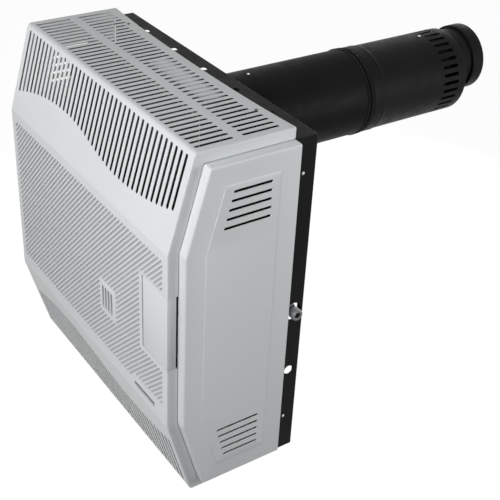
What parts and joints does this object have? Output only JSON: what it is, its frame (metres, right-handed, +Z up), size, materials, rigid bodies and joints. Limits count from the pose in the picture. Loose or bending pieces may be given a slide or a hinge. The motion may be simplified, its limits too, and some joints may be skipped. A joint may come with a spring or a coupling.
{
  "type": "wall mounted gas heater",
  "caption": "Balanced-flue wall gas heater with a slotted sheet casing, side covers, control door and knob, wall pan, sealed chamber with burner, and a concentric flue behind.",
  "frame": {"origin": "middle of the rear face of the wall pan's lower lip, which lies on the wall", "axes": "+X along the wall to the right as seen by someone facing the heater, +Y into the wall along the flue, +Z up"},
  "size_m": [0.5622, 0.783, 0.6069],
  "materials": {
    "pale_coat": "satin pale grey powder coat",
    "black_coat": "satin black heat-resistant paint",
    "galvanised": "dull zinc-coated sheet",
    "chamber_enamel": "matt dark enamel on steel",
    "stainless": "plain stainless steel",
    "cast_aluminium": "die-cast, fine grain",
    "brass": "machined",
    "copper": "drawn copper tube, slightly dulled",
    "dark_plastic": "fine-grained dark plastic",
    "red_plastic": "smooth red plastic",
    "ceramic": "glazed white ceramic",
    "sight_glass": "clear heat-resistant glass",
    "fibre": "pressed fibre seal",
    "silicone": "red-brown silicone lead"
  },
  "bodies": {
    "heater": {"flue_tube": "black_coat", "flue_cap": "black_coat", "duct_spigot": "galvanised", "outer_duct_inner": "black_coat", "outer_duct_outer": "black_coat", "intake_ring": "black_coat", "terminal_plate": "black_coat", "flue_support": "galvanised", "duct_screw_inner": "stainless", "duct_screw_outer": "stainless", "casing": "pale_coat", "door_hinge_pin": "stainless", "side_cover_right": "pale_coat", "side_cover_left": "pale_coat", "wall_pan": "black_coat", "pan_screw_upper_right": "stainless", "pan_screw_lower_right": "stainless", "pan_screw_upper_left": "stainless", "pan_screw_lower_left": "stainless", "top_bracket_left": "black_coat", "casing_screw_left": "stainless", "top_bracket_right": "black_coat", "casing_screw_right": "stainless", "air_box": "galvanised", "chamber_rear": "chamber_enamel", "chamber_front": "chamber_enamel", "chamber_gasket": "fibre", "chamber_foot_left": "galvanised", "chamber_foot_right": "galvanised", "sight_glass": "sight_glass", "sight_glass_frame": "galvanised", "burner_bar": "stainless", "burner_bracket_left": "galvanised", "burner_bracket_right": "galvanised", "injector": "brass", "pilot_bracket": "galvanised", "pilot_burner": "brass", "thermocouple": "stainless", "spark_electrode": "ceramic", "gas_valve_body": "cast_aluminium", "valve_spindle_guide": "cast_aluminium", "control_plate": "galvanised", "valve_bracket": "galvanised", "piezo_body": "dark_plastic", "gas_inlet_union": "galvanised", "gas_inlet_pipe": "copper", "main_gas_pipe": "copper", "pilot_gas_pipe": "copper", "thermocouple_lead": "copper", "ignition_lead": "silicone", "thermostat_bulb": "copper", "bulb_bracket": "galvanised", "thermostat_capillary": "copper"},
    "door": {"control_door": "pale_coat"},
    "knob_slide": {"push_collar": "stainless"},
    "knob": {"control_knob": "dark_plastic", "valve_spindle": "brass"},
    "igniter_button": {"piezo_button": "red_plastic"}
  },
  "joints": [
    {"name": "door_hinge", "type": "hinge", "parent": "heater", "child": "door", "pos_m": [0.1937, -0.236, 0.307], "axis": [0, 0, -1], "range_deg": [0, 95]},
    {"name": "knob_press", "type": "slide", "parent": "heater", "child": "knob_slide", "axis": [0, 1, 0], "range_m": [0, 0.004], "stiffness_N_per_m": 1500, "springref_m": -0.004},
    {"name": "knob_turn", "type": "hinge", "parent": "knob_slide", "child": "knob", "pos_m": [0.225, -0.211, 0.328], "axis": [0, 1, 0], "range_deg": [0, 240]},
    {"name": "igniter_press", "type": "slide", "parent": "heater", "child": "igniter_button", "axis": [0, 1, 0], "range_m": [0, 0.008], "stiffness_N_per_m": 900, "springref_m": -0.004}
  ]
}
